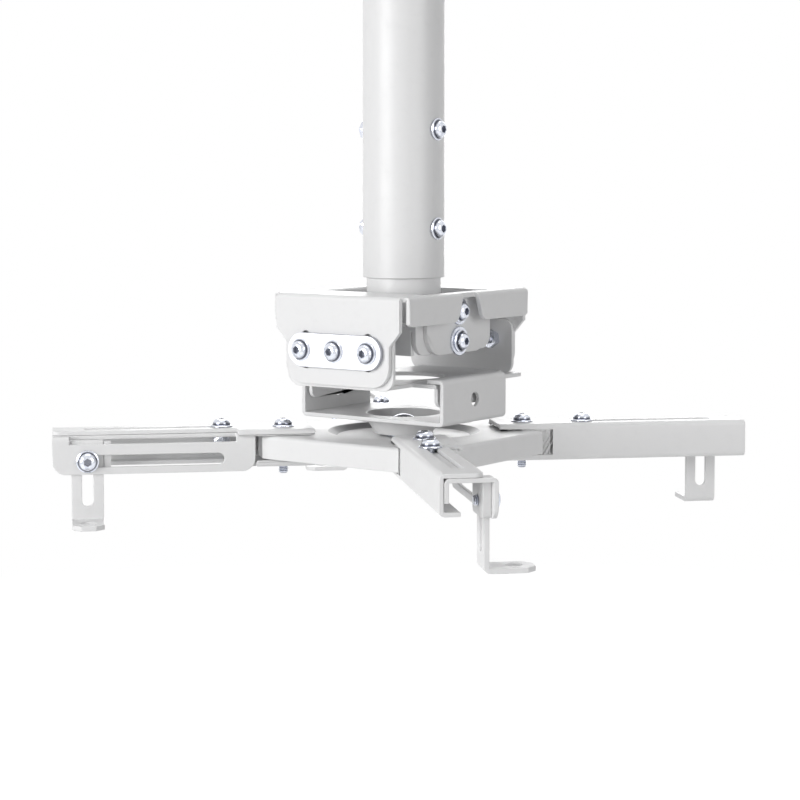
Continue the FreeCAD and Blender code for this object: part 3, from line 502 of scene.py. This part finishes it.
def setBolt(name, body, direction, spin):
    direction = Vector(direction).normalized()
    top, length = boltAxis(name, direction)
    if name.startswith("arm_pivot"):  # its thread stands further out below the spider
        length += boltSizes["pivotReach"]
    withNut = not name.startswith(("arm_pivot", "hook"))
    obj = buildBolt(f"{name}_detail", length, withNut)
    turn = direction.to_track_quat("Z", "Y").to_matrix().to_4x4()
    obj.data.transform(Matrix.Translation(top) @ turn @ Matrix.Rotation(spin, 4, "Z"))
    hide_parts(name)
    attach(obj, body)


armAngles = {"right": 45.0, "back": 135.0, "left": 225.0, "front": 315.0}
bolts = [  # node, body, direction of the head
    ("column_bolt_low", "column", (1, 0, 0)),
    ("column_bolt_high", "column", (1, 0, 0)),
    ("tilt_lock_bolt_right", "insert", (1, 0, 0)),
    ("tilt_lock_bolt_left", "insert", (-1, 0, 0)),
    ("tilt_pivot_bolt_right", "head", (1, 0, 0)),
    ("tilt_pivot_bolt_left", "head", (-1, 0, 0)),
]
for side, heading in (("front", -1), ("back", 1)):
    for spot in ("left", "middle", "right"):
        bolts.append((f"roll_bolt_{side}_{spot}", "cradle", (0, heading, 0)))
for arm, angle in armAngles.items():
    turn = math.radians(angle)
    across = (-math.sin(turn), math.cos(turn), 0)
    bolts.append((f"arm_pivot_bolt_{arm}", f"arm_{arm}", (0, 0, 1)))
    bolts.append((f"extension_bolt_{arm}", f"extension_{arm}", (0, 0, 1)))
    bolts.append((f"hook_bolt_{arm}", f"hook_slider_{arm}", across))
for number, (name, body, direction) in enumerate(bolts):
    setBolt(name, body, direction, boltSizes["twist"] * number)
print("bolts done", len(bolts))


# Sheets, tubes and washers keep their shape and get rolled edges

sheetEdges = {"weld": 0.005, "flatAngle": 0.6, "segments": 2, "normalWeight": 90}
sheetFinishes = [  # word in the name, material, edge width in mm, least angle of an edge
    ("strap", strapPlate, 0.5, 40),
    ("washer", zincPlate, 0.3, 40),
    ("bush", zincPlate, 0.3, 40),
    ("spider", hubCoat, 0.6, 24),
    ("", whiteCoat, 0.45, 40),
]


def dressNode(name, material, edgeWidth, edgeAngle):
    obj = nodes[name]
    if not obj.material_slots:
        raise RuntimeError(f"{name} has no material slot")
    for slot in obj.material_slots:
        slot.link = "OBJECT"
        slot.material = material
    weld = obj.modifiers.new("weld", "WELD")
    weld.merge_threshold = sheetEdges["weld"] * mm
    planar = obj.modifiers.new("planar", "DECIMATE")
    planar.decimate_type = "DISSOLVE"
    planar.angle_limit = math.radians(sheetEdges["flatAngle"])
    bevel = obj.modifiers.new("edge", "BEVEL")
    bevel.width = edgeWidth * mm
    bevel.segments = sheetEdges["segments"]
    bevel.limit_method = "ANGLE"
    bevel.angle_limit = math.radians(edgeAngle)
    bevel.use_clamp_overlap = False
    normal = obj.modifiers.new("shade", "WEIGHTED_NORMAL")
    normal.mode = "FACE_AREA_WITH_ANGLE"
    normal.weight = sheetEdges["normalWeight"]
    normal.keep_sharp = False


boltNames = {name for name, body, direction in bolts}
for name in nodes:
    if name not in boltNames:
        finish = next(row for row in sheetFinishes if row[0] in name)
        dressNode(name, *finish[1:])
print("sheets done")


# Small trim: the domed cap over the swivel bolt, the tab behind the cradle's right rail

capLook = {
    "profile": [  # radius and height above the dish floor
        (0.0, 9.1), (2.0, 8.95), (4.0, 8.45), (6.0, 7.6), (7.6, 6.6), (8.6, 5.7), (9.1, 4.8),
        (9.3, 3.6), (9.3, 0.6), (9.9, 0.0), (8.3, 0.0), (8.3, 5.2), (6.0, 6.3), (3.0, 7.4),
        (0.0, 7.8),
    ],
    "steps": 64,
    "sheet": 2.5,  # the dish floor is one sheet above its washer
    "footHigh": 1.0,
    # the cap is darkened all over, and painted shade darkens its foot most
    "footPaintedShade": 0.8,
    "dirtAndShade": 0.5,
    "smoothAngle": 50,
}
tabLook = {
    "near": 34.0,
    "far": 60.5,
    "inner": 40.0,
    "corner": 2.0,
    "cornerSteps": 5,
    "thick": 2.5,
    "belowLip": 2.6,  # one sheet and a small gap under the bracket's lip
    "insideRail": 0.2,
    "edge": 0.45,
    "edgeSteps": 2,
    "edgeAngle": 60,
}


def buildCap():
    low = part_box("swivel_washer")[1][2] / mm + capLook["sheet"]
    bm = bmesh.new()
    spinProfile(bm, [(radius, low + height) for radius, height in capLook["profile"]],
                capLook["steps"])
    # darker all over, painted shade darkest on the foot
    layer = bm.verts.layers.float.new("recess")
    for vert in bm.verts:
        onFoot = vert.co.z <= (low + capLook["footHigh"]) * mm
        vert[layer] = capLook["footPaintedShade"] if onFoot else capLook["dirtAndShade"]
    return finishMesh(bm, "swivel_cap", boltPlate, capLook["smoothAngle"])


def buildTab():
    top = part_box("lower_bracket")[1][2] / mm - tabLook["belowLip"]
    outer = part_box("roll_cradle")[1][0] / mm - tabLook["insideRail"]
    wide, long = outer - tabLook["inner"], tabLook["far"] - tabLook["near"]
    bm = bmesh.new()
    bmesh.ops.create_grid(bm, x_segments=1, y_segments=1, size=0.5)
    bmesh.ops.scale(bm, verts=bm.verts, vec=(wide * mm, long * mm, 1))
    middleX, middleY = outer - wide / 2, tabLook["near"] + long / 2
    bmesh.ops.translate(bm, verts=bm.verts, vec=(middleX * mm, middleY * mm, top * mm))
    corners = [v for v in bm.verts if v.co.y > middleY * mm]
    bevelled(bm, corners, tabLook["corner"], tabLook["cornerSteps"], "VERTICES")
    grown = bmesh.ops.extrude_face_region(bm, geom=bm.faces[:])
    lower = [g for g in grown["geom"] if isinstance(g, bmesh.types.BMVert)]
    bmesh.ops.translate(bm, verts=lower, vec=(0, 0, -tabLook["thick"] * mm))
    rims = [e for e in bm.edges if len(e.link_faces) == 2
            and e.calc_face_angle(0) > math.radians(tabLook["edgeAngle"])
            and abs(e.verts[0].co.z - e.verts[1].co.z) < tiny]
    bevelled(bm, rims, tabLook["edge"], tabLook["edgeSteps"], "EDGES")
    return finishMesh(bm, "cradle_tab", whiteCoat)


trim = ((buildCap(), "bracket", "zinc"), (buildTab(), "cradle", "white_paint"))
for piece, body, finish in trim:
    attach(piece, body)
print("trim done")


# Camera: lens, place and shift solved from the object's corners

cameraSetup = {
    "image": 800,
    "focalPixels": 2083.5,
    "centre": (403.7, 309.5),
    "sensor": 36.0,
    "clip": (0.05, 20.0),
    "azimuth": 35.6,
    "reach": 1.278,
    "height": -0.2377,
    "pitch": 3.87,
}


def addCamera():
    image, reach = cameraSetup["image"], cameraSetup["reach"]
    centreX, centreY = cameraSetup["centre"]
    data = bpy.data.cameras.new("Camera")
    data.sensor_width = cameraSetup["sensor"]
    data.lens = cameraSetup["focalPixels"] / image * cameraSetup["sensor"]
    data.shift_x = (image / 2 - centreX) / image
    data.shift_y = (centreY - image / 2) / image
    data.clip_start, data.clip_end = cameraSetup["clip"]
    camera = bpy.data.objects.new("Camera", data)
    scene.collection.objects.link(camera)
    turn = math.radians(cameraSetup["azimuth"])
    camera.location = (reach * math.sin(turn), -reach * math.cos(turn), cameraSetup["height"])
    camera.rotation_euler = (math.radians(90 - cameraSetup["pitch"]), 0, turn)
    return camera


scene.camera = addCamera()


# Soft lamps round the object, aimed at its middle

lampTarget = Vector((0, 0, -0.36))
lamps = {
    "KeyLight": {"place": (-0.55, -2.1, 0.15), "size": 1.3, "power": 34},
    "RightFill": {"place": (2.1, -0.3, 0.1), "size": 1.2, "power": 12},
    "TopLight": {"place": (-0.2, 0.3, 1.8), "size": 1.5, "power": 17},
    "BackFill": {"place": (-1.2, 1.9, 0.0), "size": 1.2, "power": 12},
}
for name, lamp in lamps.items():
    light = bpy.data.lights.new(name, "AREA")
    light.shape = "RECTANGLE"
    light.size = light.size_y = lamp["size"]
    light.energy = lamp["power"]
    obj = bpy.data.objects.new(name, light)
    scene.collection.objects.link(obj)
    obj.location = lamp["place"]
    aim = lampTarget - Vector(lamp["place"])
    obj.rotation_euler = aim.to_track_quat("-Z", "Y").to_euler()


# Surroundings: dim light for the object, white where they are seen

skyLook = {"color": (0.99, 0.99, 1.0, 1), "strength": 0.15, "seen": (1, 1, 1, 1)}


def seenDirectly(tree):  # 1 for rays that show the surroundings: camera, glossy, transmission
    path = addNode(tree, "ShaderNodeLightPath").outputs
    either = calc(tree, "MAXIMUM", path["Is Camera Ray"], path["Is Glossy Ray"])
    return calc(tree, "MAXIMUM", either, path["Is Transmission Ray"])


def mixShaders(tree, factor, first, second, output):
    mix = addNode(tree, "ShaderNodeMixShader")
    feed(tree, mix.inputs["Fac"], factor)
    feed(tree, mix.inputs[1], first)
    feed(tree, mix.inputs[2], second)
    feed(tree, tree.nodes[output].inputs["Surface"], mix.outputs["Shader"])


def makeWorld():
    world = bpy.data.worlds.new("World")
    world.use_nodes = True
    tree = world.node_tree
    dim = tree.nodes["Background"]
    dim.inputs["Color"].default_value = skyLook["color"]
    dim.inputs["Strength"].default_value = skyLook["strength"]
    plain = addNode(tree, "ShaderNodeBackground", Color=skyLook["seen"], Strength=1.0)
    mixShaders(tree, seenDirectly(tree), dim.outputs["Background"],
               plain.outputs["Background"], "World Output")
    return world


scene.world = makeWorld()


# Pale floor below the hanging object: lit and shadowed near it, plain white further out

floorLook = {
    "height": -0.9,
    "half": 6.0,
    "cells": 8,
    "color": (0.72, 0.72, 0.72, 1),
    "grain": 30.0,
    "roughness": (0.6, 0.75),
    "nearRadius": 0.9,
    "farRadius": 2.2,
    "glow": 0.62,
}


def makeFloorMaterial():
    material, tree, shader = newMaterial("FloorPale")
    coords = addNode(tree, "ShaderNodeTexCoord").outputs["Object"]
    grain = noise(tree, coords, floorLook["grain"])
    shader.inputs["Base Color"].default_value = floorLook["color"]
    feed(tree, shader.inputs["Roughness"], remap(tree, grain, *floorLook["roughness"]))
    seen = seenDirectly(tree)
    glow = addNode(tree, "ShaderNodeEmission")
    feed(tree, glow.inputs["Strength"], calc(tree, "MULTIPLY", seen, floorLook["glow"]))
    lit = addNode(tree, "ShaderNodeAddShader")
    feed(tree, lit.inputs[0], shader.outputs["BSDF"])
    feed(tree, lit.inputs[1], glow.outputs["Emission"])
    white = addNode(tree, "ShaderNodeEmission", Strength=1.0)
    outward = remap(tree, distance(tree, coords), 0.0, 1.0, floorLook["nearRadius"],
                    floorLook["farRadius"])
    mixShaders(tree, calc(tree, "MULTIPLY", outward, seen), lit.outputs["Shader"],
               white.outputs["Emission"], "Material Output")
    return material


def buildFloor():
    bm = bmesh.new()
    bmesh.ops.create_grid(bm, x_segments=floorLook["cells"], y_segments=floorLook["cells"],
                          size=floorLook["half"])
    mesh = bpy.data.meshes.new("Floor")
    bm.to_mesh(mesh)
    bm.free()
    mesh.materials.append(makeFloorMaterial())
    obj = bpy.data.objects.new("Floor", mesh)
    scene.collection.objects.link(obj)
    obj.location = (0, 0, floorLook["height"])
    return obj


floor = buildFloor()
print("camera, lamps and floor done")

scene.view_settings.view_transform = "Standard"
print("scene done")
